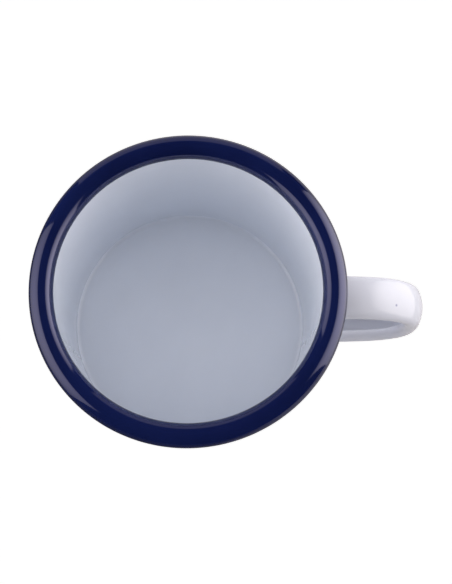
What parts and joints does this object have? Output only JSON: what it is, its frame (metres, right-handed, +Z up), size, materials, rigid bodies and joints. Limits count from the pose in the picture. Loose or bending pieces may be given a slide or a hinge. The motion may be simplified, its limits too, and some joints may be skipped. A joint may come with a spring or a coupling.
{
  "type": "enamel mug",
  "caption": "White enamelled steel mug with a rolled blue rim and a hollow strap handle.",
  "frame": {"origin": "centre of the flat base, on the cup's axis, on the surface that the mug stands on", "axes": "+Z up along the cup's axis, +X towards the handle, which is symmetric about the XZ plane"},
  "size_m": [0.1183, 0.092, 0.0693],
  "materials": {
    "steel_sheet": "matte",
    "white_enamel": "gloss",
    "blue_enamel": "gloss"
  },
  "bodies": {
    "root": {"cup_shell": "steel_sheet", "inner_enamel": "white_enamel", "outer_enamel": "white_enamel", "rim_enamel": "blue_enamel", "handle_strap": "steel_sheet", "handle_enamel": "white_enamel"}
  },
  "joints": []
}
